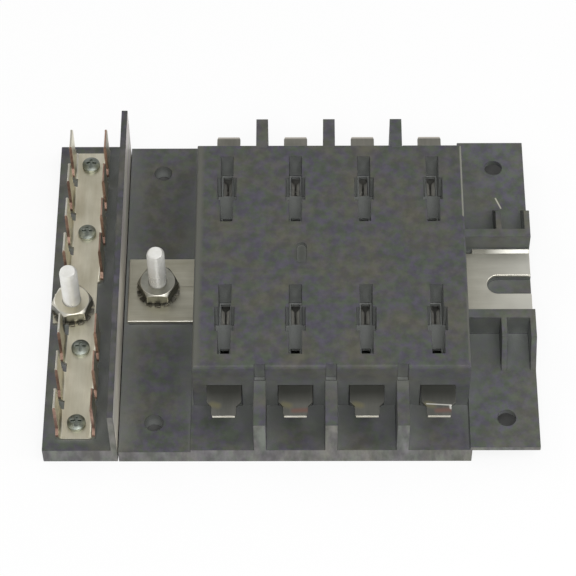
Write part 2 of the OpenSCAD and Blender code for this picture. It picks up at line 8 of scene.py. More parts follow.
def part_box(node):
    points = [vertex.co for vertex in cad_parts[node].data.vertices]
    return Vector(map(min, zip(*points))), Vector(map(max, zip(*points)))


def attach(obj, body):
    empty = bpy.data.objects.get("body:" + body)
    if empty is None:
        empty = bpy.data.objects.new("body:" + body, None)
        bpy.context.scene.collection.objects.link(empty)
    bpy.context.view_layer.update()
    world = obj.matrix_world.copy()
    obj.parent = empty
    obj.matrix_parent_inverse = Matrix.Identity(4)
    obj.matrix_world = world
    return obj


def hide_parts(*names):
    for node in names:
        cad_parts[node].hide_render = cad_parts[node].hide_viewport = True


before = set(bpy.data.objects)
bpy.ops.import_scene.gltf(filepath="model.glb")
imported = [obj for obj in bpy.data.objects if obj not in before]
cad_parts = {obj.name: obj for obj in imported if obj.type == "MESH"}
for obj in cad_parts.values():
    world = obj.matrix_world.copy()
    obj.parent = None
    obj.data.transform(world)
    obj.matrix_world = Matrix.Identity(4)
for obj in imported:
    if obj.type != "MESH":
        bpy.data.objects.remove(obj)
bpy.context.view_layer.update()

MM = 0.001


# Camera: the block is looked down on from the front, a little more steeply than halfway up.
# A long lens keeps its sides nearly parallel.
camera_target = Vector((-0.9, 5.14, 0)) * MM
camera_distance = 679.25 * MM
camera_elevation = radians(55.71)
camera_azimuth = radians(0.67)
camera_roll = radians(-0.67)
camera_sensor_mm = 36
photo_side_px = 576
focal_px = 2508.4

back = Vector((sin(camera_azimuth) * cos(camera_elevation),
               -cos(camera_azimuth) * cos(camera_elevation),
               sin(camera_elevation)))
level = Vector((cos(camera_azimuth), sin(camera_azimuth), 0))
upright = back.cross(level)
right = level * cos(camera_roll) + upright * sin(camera_roll)
up = upright * cos(camera_roll) - level * sin(camera_roll)
camera_data = bpy.data.cameras.new("camera")
camera_data.sensor_width = camera_sensor_mm
camera_data.lens = camera_sensor_mm * focal_px / photo_side_px
camera = bpy.data.objects.new("camera", camera_data)
camera.matrix_world = Matrix((
    (right.x, up.x, back.x, 0),
    (right.y, up.y, back.y, 0),
    (right.z, up.z, back.z, 0),
    (0, 0, 0, 1)))
camera.location = camera_target + back * camera_distance
bpy.context.scene.collection.objects.link(camera)
bpy.context.scene.camera = camera


# Floor and light: a white sheet under the block, a white room round it and four soft lamps.
# The sheet shows nearly white to the camera and in the metal, keeps the block's soft shadow, and
# has painted shade where the block stands on it, so that the panel holes look as deep as on a
# panel.
floor_side = 6.0
floor_white = (0.86, 0.86, 0.86, 1)
# Painted shade: the sheet's dark colour inside the block's footprint, as if in the block's shadow.
floor_painted_shade = (0.125, 0.125, 0.122, 1)
floor_glow_share = 0.86
painted_shade_half = Vector((64.0, 47.3, 0)) * MM
painted_shade_shift_y = 2.0 * MM
painted_shade_fade = 2.2 * MM
room_white = (1, 1, 1, 1)
room_strength = 0.50
room_seen_strength = 1.0


def add_node(tree, kind, **settings):
    node = tree.nodes.new(kind)
    for name, value in settings.items():
        setattr(node, name, value)
    return node


def calculate(tree, operation, first, second=None):
    """One step of arithmetic on nodes' outputs and plain numbers."""
    step = add_node(tree, "ShaderNodeMath", operation=operation)
    for socket, value in zip(step.inputs, (first, second)):
        if isinstance(value, (int, float)):
            socket.default_value = value
        elif value is not None:
            tree.links.new(value, socket)
    return step.outputs[0]


def spread(tree, value, low, high, to_low, to_high):
    """Maps low..high of a value on to to_low..to_high."""
    mapped = add_node(tree, "ShaderNodeMapRange")
    ends = {"From Min": low, "From Max": high, "To Min": to_low, "To Max": to_high}
    for socket, number in ends.items():
        mapped.inputs[socket].default_value = number
    tree.links.new(value, mapped.inputs["Value"])
    return mapped.outputs["Result"]


def blend_colours(tree, share, first, second):
    """Mixes two colours, each a tuple or another node's colour."""
    made = add_node(tree, "ShaderNodeMix", data_type="RGBA")
    tree.links.new(share, made.inputs["Factor"])
    for socket, colour in ((made.inputs[6], first), (made.inputs[7], second)):
        if isinstance(colour, tuple):
            socket.default_value = colour
        else:
            tree.links.new(colour, socket)
    return made.outputs[2]


def own_place(tree):
    """The place of a point on its own object, in metres."""
    return add_node(tree, "ShaderNodeTexCoord").outputs["Object"]


floor_mesh = bmesh.new()
bmesh.ops.create_grid(floor_mesh, x_segments=1, y_segments=1, size=floor_side / 2)
floor_data = bpy.data.meshes.new("floor")
floor_mesh.to_mesh(floor_data)
floor_mesh.free()
floor = bpy.data.objects.new("floor", floor_data)
bpy.context.scene.collection.objects.link(floor)

floor_paper = bpy.data.materials.new("floor_paper")
floor_paper.use_nodes = True
tree = floor_paper.node_tree
tree.nodes.clear()
axes = add_node(tree, "ShaderNodeSeparateXYZ")
tree.links.new(own_place(tree), axes.inputs[0])
out_in_x = calculate(tree, "ABSOLUTE", axes.outputs[0])
out_in_y = calculate(tree, "ABSOLUTE",
                     calculate(tree, "SUBTRACT", axes.outputs[1], painted_shade_shift_y))
beyond = calculate(tree, "MAXIMUM",
                   calculate(tree, "SUBTRACT", out_in_x, painted_shade_half.x),
                   calculate(tree, "SUBTRACT", out_in_y, painted_shade_half.y))
# Painted shade: inside the footprint the sheet takes the dark colour and has no glow.
outside_painted_shade = spread(tree, beyond, -painted_shade_fade, 0, 0, 1)
paper = add_node(tree, "ShaderNodeBsdfDiffuse")
tree.links.new(blend_colours(tree, outside_painted_shade, floor_painted_shade, floor_white), paper.inputs["Color"])
glow = add_node(tree, "ShaderNodeEmission")
rays = add_node(tree, "ShaderNodeLightPath")
looked_at = calculate(tree, "MAXIMUM", rays.outputs["Is Camera Ray"], rays.outputs["Is Glossy Ray"])
glow_here = calculate(tree, "MULTIPLY", looked_at, floor_glow_share)
mix = add_node(tree, "ShaderNodeMixShader")
out = add_node(tree, "ShaderNodeOutputMaterial")
tree.links.new(calculate(tree, "MULTIPLY", glow_here, outside_painted_shade), mix.inputs["Fac"])
tree.links.new(paper.outputs[0], mix.inputs[1])
tree.links.new(glow.outputs[0], mix.inputs[2])
tree.links.new(mix.outputs[0], out.inputs["Surface"])
floor_data.materials.append(floor_paper)

room = bpy.data.worlds.new("room")
bpy.context.scene.world = room
room.use_nodes = True
tree = room.node_tree
walls = tree.nodes["Background"]
walls.inputs["Color"].default_value = room_white
rays = add_node(tree, "ShaderNodeLightPath")
tree.links.new(spread(tree, rays.outputs["Is Camera Ray"], 0, 1, room_strength, room_seen_strength),
               walls.inputs["Strength"])


def soft_lamp(name, place, side, watts):
    """A square lamp that looks at the block."""
    data = bpy.data.lights.new(name, "AREA")
    data.size = side
    data.energy = watts
    lamp = bpy.data.objects.new(name, data)
    lamp.location = place
    lamp.rotation_euler = (-Vector(place)).to_track_quat("-Z", "Y").to_euler()
    bpy.context.scene.collection.objects.link(lamp)


soft_lamp("lamp_overhead", (0.31, -0.22, 0.88), side=0.34, watts=1.7)
soft_lamp("lamp_behind_camera", (0.01, -0.62, 0.91), side=0.55, watts=4.6)
soft_lamp("lamp_left_rear", (-0.60, 0.35, 0.55), side=0.45, watts=1.0)
soft_lamp("lamp_right", (0.75, -0.10, 0.40), side=0.45, watts=1.6)

bpy.context.scene.view_settings.view_transform = "Standard"


# Ground pad: the left-hand moulding, a flat plate with the tall divider wall on its right edge.
# It is glass-filled black thermoplastic from a spark-eroded mould: satin grain, cloudy grey-green
# colour, rubbed edges, painted light in its corners, and faces painted paler as lit faces at its
# ends and, paler still, on the divider's right face.
moulding_tints = ((0.057, 0.070, 0.051, 1), (0.063, 0.058, 0.078, 1), (0.080, 0.076, 0.055, 1))
# Painted light: paler tints for the front and rear end faces, for how brightly they are lit.
lit_end_tints = ((0.122, 0.135, 0.116, 1), (0.140, 0.133, 0.140, 1), (0.172, 0.166, 0.134, 1))
# Painted light: much paler tints for the divider's right face, for the light and reflection it
# catches.
lit_side_tints = ((0.430, 0.430, 0.370, 1), (0.500, 0.455, 0.455, 1), (0.760, 0.710, 0.570, 1))
rubbed_tints = ((0.042, 0.048, 0.039, 1), (0.063, 0.058, 0.078, 1), (0.085, 0.082, 0.066, 1))
# Painted light: paler colour in hollows, palest in the deepest, lifting the shade there.
hollow_painted_light = (0.210, 0.220, 0.210, 1)
deep_hollow_painted_light = (0.430, 0.445, 0.430, 1)
even_grain = (1, 1, 1)
upright_grain = (1, 1, 0.35)
drawn_along_y = (1, 0.15, 1)
cloud_bumps_per_m = 420
cloud_edges = (0.41, 0.59)
patch_bumps_per_m = 80
patch_edges = (0.45, 0.66)
patch_strength = 0.85
mottle_bumps_per_m = 330
mottle_edges = (0.38, 0.62)
gloss_bumps_per_m = 240
gloss_edges = (0.35, 0.65)
grain_bumps_per_m = 2600
grain_depth = 0.02 * MM
grain_strength = 0.6
painted_light_reach = 9.0 * MM
painted_light_openness = (0.15, 0.90)
deep_painted_light_openness = (0.0, 0.22)
moulding_shine = 0.4
streak_core_share = 0.2


def new_material(name):
    material = bpy.data.materials.new(name)
    material.use_nodes = True
    return material, material.node_tree, material.node_tree.nodes["Principled BSDF"]


def noise(tree, bumps_per_m, detail, grain=even_grain, roughness=0.5, shift=0.0):
    """Noise in the block's own metres, drawn out along the axes where grain is below 1."""
    stretched = add_node(tree, "ShaderNodeMapping")
    stretched.inputs["Scale"].default_value = grain
    stretched.inputs["Location"].default_value = (shift, shift, shift)
    made = add_node(tree, "ShaderNodeTexNoise")
    made.inputs["Scale"].default_value = bumps_per_m
    made.inputs["Detail"].default_value = detail
    made.inputs["Roughness"].default_value = roughness
    tree.links.new(own_place(tree), stretched.inputs["Vector"])
    tree.links.new(stretched.outputs["Vector"], made.inputs["Vector"])
    return made.outputs["Fac"]


def raise_surface(tree, shader, height, strength):
    """Fine relief on a surface, from a noise."""
    bump = add_node(tree, "ShaderNodeBump")
    bump.inputs["Strength"].default_value = strength
    bump.inputs["Distance"].default_value = grain_depth
    tree.links.new(height, bump.inputs["Height"])
    tree.links.new(bump.outputs["Normal"], shader.inputs["Normal"])


def streak(tree, start, end, half_width):
    """1 along a short line between two points given in mm, fading to 0 beside it."""
    start, end = Vector(start) * MM, Vector(end) * MM
    along = end - start
    offset = add_node(tree, "ShaderNodeVectorMath", operation="SUBTRACT")
    offset.inputs[1].default_value = start
    tree.links.new(own_place(tree), offset.inputs[0])
    run = add_node(tree, "ShaderNodeVectorMath", operation="DOT_PRODUCT")
    run.inputs[1].default_value = along / along.length_squared
    tree.links.new(offset.outputs["Vector"], run.inputs[0])
    travelled = add_node(tree, "ShaderNodeVectorMath", operation="SCALE")
    travelled.inputs[0].default_value = along
    tree.links.new(spread(tree, run.outputs["Value"], 0, 1, 0, 1), travelled.inputs["Scale"])
    gap = add_node(tree, "ShaderNodeVectorMath", operation="DISTANCE")
    tree.links.new(offset.outputs["Vector"], gap.inputs[0])
    tree.links.new(travelled.outputs["Vector"], gap.inputs[1])
    core = streak_core_share * half_width * MM
    return spread(tree, gap.outputs["Value"], core, half_width * MM, 1, 0)


def moulding(name, tints, gloss, hollow_light=None, streaks=(), grain=even_grain, mottle=0.16):
    """Satin plastic: three tints in clouds, painted light in hollows, uneven gloss, grain, and
    painted highlights and shade in streaks.
    """
    green, violet, straw = tints
    material, tree, shader = new_material(name)
    clouds = noise(tree, cloud_bumps_per_m, detail=3, grain=grain, roughness=0.6)
    patches = noise(tree, patch_bumps_per_m, detail=6, grain=grain, roughness=0.65, shift=0.7)
    mottling = noise(tree, mottle_bumps_per_m, detail=4, grain=grain, roughness=0.6, shift=1.9)
    colour = blend_colours(tree, spread(tree, clouds, *cloud_edges, 0, 1), green, violet)
    straw_share = spread(tree, patches, *patch_edges, 0, patch_strength)
    colour = blend_colours(tree, straw_share, colour, straw)
    tone = add_node(tree, "ShaderNodeMix", data_type="RGBA", blend_type="MULTIPLY")
    tone.inputs["Factor"].default_value = 1
    tree.links.new(colour, tone.inputs[6])
    tree.links.new(spread(tree, mottling, *mottle_edges, 1 - mottle, 1 + mottle), tone.inputs[7])
    colour = tone.outputs[2]
    # Painted light: the less open a spot is, the paler its colour.
    if hollow_light:
        openness = add_node(tree, "ShaderNodeAmbientOcclusion", samples=8)
        openness.inputs["Distance"].default_value = painted_light_reach
        for tint, range_of_openness in ((hollow_light, painted_light_openness), (deep_hollow_painted_light, deep_painted_light_openness)):
            lit_share = spread(tree, openness.outputs["AO"], *range_of_openness, 1, 0)
            colour = blend_colours(tree, lit_share, colour, tint)
    for start, end, half_width, tint in streaks:
        colour = blend_colours(tree, streak(tree, start, end, half_width), colour, tint)
    tree.links.new(colour, shader.inputs["Base Color"])
    shader.inputs["Specular IOR Level"].default_value = moulding_shine
    smears = noise(tree, gloss_bumps_per_m, detail=4, shift=0.3)
    tree.links.new(spread(tree, smears, *gloss_edges, *gloss), shader.inputs["Roughness"])
    raise_surface(tree, shader, noise(tree, grain_bumps_per_m, detail=2), grain_strength)
    return material


satin = (0.50, 0.64)
plain_face = moulding("moulding_face", moulding_tints, satin, hollow_painted_light)
painted_lit_end_face = moulding("moulding_pale_face", lit_end_tints, (0.52, 0.68), grain=upright_grain,
                     mottle=0.30)
painted_lit_side_face = moulding("moulding_slide_face", lit_side_tints, (0.36, 0.50), grain=drawn_along_y)
rubbed_edge = moulding("moulding_rubbed_edge", rubbed_tints, (0.56, 0.70))

weld_reach = 0.001 * MM
flat_angle = radians(0.5)
crease_angle = radians(30)
sharp_angle = radians(32)
head_on = 0.9


def copy_solid(node):
    """A new mesh with a node's faces, where each flat face is one again."""
    mesh = bmesh.new()
    mesh.from_mesh(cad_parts[node].data)
    bmesh.ops.remove_doubles(mesh, verts=mesh.verts, dist=weld_reach)
    bmesh.ops.dissolve_limit(mesh, angle_limit=flat_angle, verts=mesh.verts, edges=mesh.edges)
    bmesh.ops.connect_verts_concave(mesh, faces=mesh.faces)
    return mesh


def place_piece(name, mesh, finishes, body, node):
    """Makes an object of a mesh, in place of the node that it stands for."""
    data = bpy.data.meshes.new(name)
    mesh.to_mesh(data)
    mesh.free()
    for finish in finishes:
        data.materials.append(finish)
    data.shade_smooth()
    data.set_sharp_from_angle(angle=crease_angle)
    piece = bpy.data.objects.new(name, data)
    bpy.context.scene.collection.objects.link(piece)
    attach(piece, body)
    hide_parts(node)
    return piece


def round_edges(piece, width, segments=3, edge_finish=None):
    """Rounds a piece's sharp edges. The rounded faces can take a finish of their own."""
    rounding = piece.modifiers.new("round_edges", "BEVEL")
    rounding.width = width
    rounding.segments = segments
    rounding.limit_method = "ANGLE"
    rounding.angle_limit = sharp_angle
    rounding.use_clamp_overlap = True
    if edge_finish:
        rounding.material = piece.data.materials.find(edge_finish.name)
    shading = piece.modifiers.new("level_faces", "WEIGHTED_NORMAL")
    shading.keep_sharp = True


def on_front_or_rear(face, low, high, reach):
    """Whether a face is part of the front or rear end of the box from low to high."""
    middle_y = face.calc_center_median().y
    return min(middle_y - low.y, high.y - middle_y) < reach and abs(face.normal.y) > head_on


moulding_edge = 0.20 * MM
end_reach = 0.05 * MM
divider_foot_z = 6 * MM
pad_low, pad_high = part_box("ground_pad")
divider_top_z = pad_high.z - 0.1 * MM
pad_finishes = (plain_face, painted_lit_end_face, rubbed_edge, painted_lit_side_face)
mesh = copy_solid("ground_pad")
for face in mesh.faces:
    middle_z = face.calc_center_median().z
    finish = plain_face
    # Front and rear ends take the painted light of a lit face; the divider's right face a paler
    # one.
    if on_front_or_rear(face, pad_low, pad_high, end_reach):
        finish = painted_lit_end_face
    elif face.normal.x > head_on and middle_z > divider_foot_z:
        finish = painted_lit_side_face
    elif face.normal.z > head_on and middle_z > divider_top_z:
        finish = rubbed_edge
    face.material_index = pad_finishes.index(finish)
piece = place_piece("ground_pad_moulding", mesh, pad_finishes, "block", "ground_pad")
round_edges(piece, moulding_edge, edge_finish=rubbed_edge)


# Base: one moulding with the lower stud zone, six ribs, and the thin ear with the bus channel.
# The same plastic as the pad; the ribs' ends and the long front and rear edges are painted paler as
# lit faces. The ear has a painted highlight streak behind a gusset and another along a gusset's
# top, and one panel hole's rim has a painted highlight too.
base_tints = ((0.065, 0.079, 0.058, 1), (0.071, 0.066, 0.087, 1), (0.088, 0.084, 0.062, 1))
ear_tints = ((0.076, 0.092, 0.068, 1), (0.082, 0.078, 0.100, 1), (0.098, 0.094, 0.070, 1))
# Painted light in the ear's hollows.
ear_hollow_painted_light = (0.150, 0.160, 0.150, 1)
ear_from_x = 46.2 * MM
# Painted highlights: short light streaks where a gusset and a hole's rim catch the light.
painted_highlight_tint = (0.46, 0.45, 0.37, 1)
painted_glint_tint = (0.22, 0.22, 0.19, 1)
gusset_slope_painted_highlight = ((55.9, 29.9, 7.0), (57.2, 26.6, 7.0), 0.28, painted_highlight_tint)
hole_rim_painted_highlight = ((-37.0, -41.9, 4.8), (-34.1, -41.7, 4.8), 0.50, painted_glint_tint)
gusset_top_painted_highlight = ((57.1, -13.2, 14.0), (56.8, -21.2, 14.0), 0.28, painted_glint_tint)
base_painted_highlights = (gusset_slope_painted_highlight, hole_rim_painted_highlight, gusset_top_painted_highlight)
base_face = moulding("moulding_base_face", base_tints, satin, hollow_painted_light, base_painted_highlights)
ear_face = moulding("moulding_ear_face", ear_tints, satin, ear_hollow_painted_light, base_painted_highlights)
base_low, base_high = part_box("main_base")
base_finishes = (base_face, painted_lit_end_face, rubbed_edge, ear_face)
mesh = copy_solid("main_base")
for face in mesh.faces:
    finish = base_face
    if on_front_or_rear(face, base_low, base_high, end_reach):
        finish = painted_lit_end_face
    elif face.calc_center_median().x > ear_from_x:
        finish = ear_face
    face.material_index = base_finishes.index(finish)
piece = place_piece("main_base_moulding", mesh, base_finishes, "block", "main_base")
round_edges(piece, moulding_edge, edge_finish=rubbed_edge)


# Fuse housing: the tall moulding with eight cross-shaped sockets, screwed to the base from below.
# Its long front and rear walls are painted a little paler than its top as lit faces, and painted
# light lies in the sockets. The top's left margin and right edge carry painted highlights, and the
# oval mark in it has painted shade.
# Painted light: paler tints for the front and rear walls, for how they are lit.
lit_wall_tints = ((0.070, 0.082, 0.064, 1), (0.074, 0.070, 0.090, 1), (0.090, 0.086, 0.066, 1))
margin_painted_highlight = (0.092, 0.093, 0.078, 1)
edge_painted_highlight = (0.230, 0.230, 0.190, 1)
shadowed_mark = (0.046, 0.050, 0.046, 1)
wall_reach = 0.1 * MM
housing_low, housing_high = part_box("fuse_housing")
top_z = housing_high.z / MM
right_edge_z = top_z - 0.3
# Painted highlights along the top's left margin and right edge, and painted shade on the oval mark.
housing_painted_light_and_shade = (
    ((-24.4, -35.0, top_z), (-24.4, 35.0, top_z), 1.5, margin_painted_highlight),
    ((45.5, 12.0, right_edge_z), (45.5, 35.0, right_edge_z), 0.42, edge_painted_highlight),
    ((45.5, -34.0, right_edge_z), (45.5, -14.0, right_edge_z), 0.42, margin_painted_highlight),
    ((2.9, -2.0, top_z), (2.9, 2.0, top_z), 2.2, shadowed_mark),
)
painted_lit_wall_face = moulding("moulding_wall_face", lit_wall_tints, (0.54, 0.68), hollow_painted_light)
top_face = moulding("moulding_top_face", moulding_tints, satin, hollow_painted_light, housing_painted_light_and_shade)
housing_finishes = (top_face, painted_lit_wall_face, rubbed_edge)
mesh = copy_solid("fuse_housing")
for face in mesh.faces:
    on_wall = on_front_or_rear(face, housing_low, housing_high, wall_reach)
    face.material_index = housing_finishes.index(painted_lit_wall_face if on_wall else top_face)
piece = place_piece("fuse_housing_moulding", mesh, housing_finishes, "block",
                    "fuse_housing")
round_edges(piece, moulding_edge, edge_finish=rubbed_edge)


# Bus bar: one stamped bar of tin-plated copper that runs under the housing from stud to ear.
# Its flats are dull and cloudy, with rolling marks along its length, and a painted reflection
# brightens them towards the ear; its rims carry a painted highlight. Two low lips stand up from its
# edges in the ear, dark except near the open end, where a painted highlight brightens them.
bar_tones = ((0.430, 0.410, 0.320, 1), (0.620, 0.600, 0.500, 1))
# Painted light: a painted reflection on the bar and a painted highlight on the lips, paler towards
# the open end.
bar_painted_light = (0.900, 0.890, 0.810, 1)
bar_light_from_to = (40 * MM, 64 * MM)
# Painted highlight: pale cream for rims, bends, tips and edges that catch the light.
rim_highlight_tones = ((0.560, 0.530, 0.440, 1), (0.820, 0.800, 0.720, 1))
lip_tones = ((0.120, 0.117, 0.098, 1), (0.180, 0.176, 0.150, 1))
lip_light_from_to = (52 * MM, 61 * MM)
rolled_along_x = (0.08, 1, 1)
rolling_bumps_per_m = 420
dull_patch_bumps_per_m = 110
rolling_edges = (0.38, 0.62)
rolling_strength = 0.5
brightening_share = 0.8


def plated_sheet(name, tones, gloss, grain=even_grain, metallic=1.0, stains_and_painted_light=(), painted_brightening=None):
    """Plated metal with rolling marks, dull patches, stains and painted marks of light and shade,
    and painted light brightening it towards +X if asked.
    """
    dark, light = tones
    material, tree, shader = new_material(name)
    shader.inputs["Metallic"].default_value = metallic
    rolling = noise(tree, rolling_bumps_per_m, detail=6, grain=grain, roughness=0.65)
    patches = noise(tree, dull_patch_bumps_per_m, detail=4, shift=0.4)
    marks = calculate(tree, "ADD", calculate(tree, "MULTIPLY", rolling, 0.5),
                      calculate(tree, "MULTIPLY", patches, 0.5))
    colour = blend_colours(tree, spread(tree, marks, *rolling_edges, 0, 1), dark, light)
    # Painted light: paler towards +X.
    if painted_brightening:
        tint, (from_x, to_x) = painted_brightening
        axes = add_node(tree, "ShaderNodeSeparateXYZ")
        tree.links.new(own_place(tree), axes.inputs[0])
        brightened = spread(tree, axes.outputs[0], from_x, to_x, 0, brightening_share)
        colour = blend_colours(tree, brightened, colour, tint)
    for start, end, half_width, stain_and_light_tint in stains_and_painted_light:
        colour = blend_colours(tree, streak(tree, start, end, half_width), colour, stain_and_light_tint)
    tree.links.new(colour, shader.inputs["Base Color"])
    tree.links.new(spread(tree, patches, *gloss_edges, *gloss), shader.inputs["Roughness"])
    raise_surface(tree, shader, rolling, rolling_strength)
    return material


bar_face = plated_sheet("bar_face", bar_tones, (0.34, 0.48), rolled_along_x,
                        painted_brightening=(bar_painted_light, bar_light_from_to))
painted_highlight_rim = plated_sheet("painted_highlight_rim", rim_highlight_tones, (0.30, 0.42))
lip_face = plated_sheet("lip_face", lip_tones, (0.34, 0.48), rolled_along_x,
                        painted_brightening=(bar_painted_light, lip_light_from_to))
bar_edge = 0.20 * MM
lip_from_y = 10.2 * MM
bar_finishes = (bar_face, painted_highlight_rim, lip_face)
mesh = copy_solid("bus_bar")
for face in mesh.faces:
    on_lip = abs(face.calc_center_median().y) > lip_from_y
    face.material_index = bar_finishes.index(lip_face if on_lip else bar_face)
piece = place_piece("bus_bar_sheet", mesh, bar_finishes, "block", "bus_bar")
round_edges(piece, bar_edge, edge_finish=painted_highlight_rim)


# Load terminals: eight stamped brass parts, tinned, one push-on tab outside the housing for each
# circuit. The front tabs are painted dark and the rear tabs pale as painted reflections, the tabs'
# tips are coined to a lead-in that carries a painted highlight, and the parts inside the housing
# carry pale painted light. The front tabs have painted shade at the root, are yellowed at their
# left, some are rubbed to the brass, and one has painted glints.
# Painted reflection: the front tabs' tin is dark and the rear tabs' pale, for what each row
# reflects.
front_tin_painted_dark = ((0.094, 0.095, 0.084, 1), (0.148, 0.147, 0.130, 1))
rear_tin_painted_light = ((0.176, 0.172, 0.146, 1), (0.270, 0.262, 0.228, 1))
# Painted light: pale tin for the parts inside the housing, lifting the shade there.
inner_tin_painted_light = ((0.420, 0.415, 0.380, 1), (0.600, 0.590, 0.540, 1))
# Painted shade: dark at the front tabs' roots, where the housing shades them.
root_painted_shade = (0.055, 0.056, 0.048, 1)
tarnish = (0.170, 0.159, 0.098, 1)
bared_metal = (0.180, 0.112, 0.092, 1)
# Painted highlights: a glint line and spot on one front tab.
glint = (0.700, 0.690, 0.640, 1)
rear_tip_painted_highlight = (0.700, 0.655, 0.580, 1)
rolled_along_y = (1, 0.10, 1)
tab_z = 15.4
terminal_edge = 0.10 * MM
tip_reach = 0.06 * MM
inside_housing_y = housing_high.y - 1.0 * MM
bared_tabs = (2, 4)
glint_tab = 4
painted_lit_inner_face = plated_sheet("painted_lit_inner_face", inner_tin_painted_light, (0.40, 0.55), metallic=0.3)


def across_tab(middle_x, left, left_y, right, right_y, half_width, tint):
    """A mark on a tab's top, from left to right of the tab's middle, in mm: real stains, painted
    shade and painted highlights all use it.
    """
    return ((middle_x + left, left_y, tab_z), (middle_x + right, right_y, tab_z), half_width, tint)


def front_tab_stains_and_painted_light(count, middle_x):
    stains_and_painted_light = [across_tab(middle_x, -2.8, -36.6, 2.8, -36.6, 5.0, root_painted_shade),
              across_tab(middle_x, -3.0, -41.3, -1.6, -41.7, 1.3, tarnish)]
    if count in bared_tabs:
        stains_and_painted_light.append(across_tab(middle_x, -0.5, -43.2, 3.0, -43.0, 1.0, bared_metal))
    if count == glint_tab:
        stains_and_painted_light.append(across_tab(middle_x, -3.1, -41.2, 3.1, -41.6, 0.24, glint))
        stains_and_painted_light.append(across_tab(middle_x, 2.95, -41.8, 3.05, -42.5, 0.5, glint))
    return stains_and_painted_light


for row in ("front", "rear"):
    for count in range(1, 5):
        node = f"load_terminal_{row}_{count}"
        low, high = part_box(node)
        tip_y = low.y if row == "front" else high.y
        middle_x = (low.x + high.x) / 2 / MM
        # Front tabs take the dark painted reflection, rear tabs the pale one and a painted
        # highlight at the tip.
        if row == "front":
            tones, gloss, metallic = front_tin_painted_dark, (0.36, 0.50), 0.5
            stains_and_painted_light = front_tab_stains_and_painted_light(count, middle_x)
        else:
            tones, gloss, metallic = rear_tin_painted_light, (0.30, 0.44), 0.8
            # Painted highlight: a pale band across each rear tab's tip.
            lit_y = tip_y / MM - 0.2
            stains_and_painted_light = [across_tab(middle_x, -2.9, lit_y, 2.9, lit_y, 0.55, rear_tip_painted_highlight)]
        tab_face = plated_sheet(f"terminal_face_{row}_{count}", tones, gloss, rolled_along_y,
                                metallic, stains_and_painted_light)
        finishes = (tab_face, painted_highlight_rim, painted_lit_inner_face)
        mesh = copy_solid(node)
        for face in mesh.faces:
            middle_y = face.calc_center_median().y
            finish = tab_face
            if abs(middle_y - tip_y) < tip_reach:
                finish = painted_highlight_rim
            elif abs(middle_y) < inside_housing_y:
                finish = painted_lit_inner_face
            face.material_index = finishes.index(finish)
        piece = place_piece(node + "_sheet", mesh, finishes, "block", node)
        round_edges(piece, terminal_edge)


# Bus clips and rivets: a strap across the bar for each column of fuses, with a spring clip for
# each row. They are hidden in the housing; tinned spring brass, riveted to the bar with brass.
brass_tones = ((0.360, 0.260, 0.100, 1), (0.620, 0.480, 0.220, 1))
rivet_brass = plated_sheet("rivet_brass", brass_tones, (0.28, 0.44))
rivet_edge = 0.15 * MM
for count in range(1, 5):
    node = f"bus_clip_{count}"
    # The clips take the pale painted light of parts inside the housing.
    piece = place_piece(node + "_sheet", copy_solid(node), (painted_lit_inner_face,), "block",
                        node)
    round_edges(piece, terminal_edge)
    node = f"bus_rivet_{count}"
    piece = place_piece(node + "_metal", copy_solid(node), (rivet_brass,), "block", node)
    round_edges(piece, rivet_edge)


# Ground strip: tinned copper sheet with fourteen upturned push-on tabs and a lug for the stud.
# It is plated before it is cut, so its flats are warm silver and its sheared edges show copper;
# its bends, ends and tab edges carry a painted highlight. The tabs' tips are coined thinner, for
# the connectors.
tin_tones = ((0.660, 0.616, 0.473, 1), (0.848, 0.811, 0.678, 1))
copper_tones = ((0.160, 0.092, 0.070, 1), (0.480, 0.315, 0.240, 1))
strip_face = plated_sheet("strip_face", tin_tones, (0.32, 0.46), rolled_along_y)
copper_edge = plated_sheet("copper_cut_edge", copper_tones, (0.36, 0.52), metallic=0.8)
strip_edge = 0.09 * MM
tab_thickness = 0.80 * MM
tab_tip_share = 0.55
blade_foot_z = 7.6 * MM
nearly_upright, nearly_flat = 0.2, 0.95
strip_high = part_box("ground_strip")[1]
right_tip_x = strip_high.x - 2 * tab_thickness
tip_z = strip_high.z - 0.02 * MM
strip_finishes = (strip_face, painted_highlight_rim, copper_edge)
mesh = copy_solid("ground_strip")
for face in mesh.faces:
    middle = face.calc_center_median()
    facing = face.normal
    on_blade = middle.z > blade_foot_z
    on_right_tip = middle.x > right_tip_x and facing.z > nearly_upright
    on_bend = nearly_upright < facing.z < nearly_flat
    finish = strip_face
    if on_blade and (facing.y < -0.5 or on_right_tip):
        finish = copper_edge
    # Tab edges, bends and ends take the painted highlight.
    elif on_blade and abs(facing.x) < 0.5:
        finish = painted_highlight_rim
    elif on_bend or (not on_blade and abs(facing.z) < 0.5 < abs(facing.y)):
        finish = painted_highlight_rim
    face.material_index = strip_finishes.index(finish)
tip_verts = [vert for vert in mesh.verts if vert.co.z > tip_z]
left_x = min(vert.co.x for vert in tip_verts)
right_x = max(vert.co.x for vert in tip_verts)
for vert in tip_verts:
    on_left = vert.co.x <= (left_x + right_x) / 2
    blade_x = left_x + tab_thickness / 2 if on_left else right_x - tab_thickness / 2
    vert.co.x = blade_x + (vert.co.x - blade_x) * tab_tip_share
piece = place_piece("ground_strip_sheet", mesh, strip_finishes, "block",
                    "ground_strip")
round_edges(piece, strip_edge)


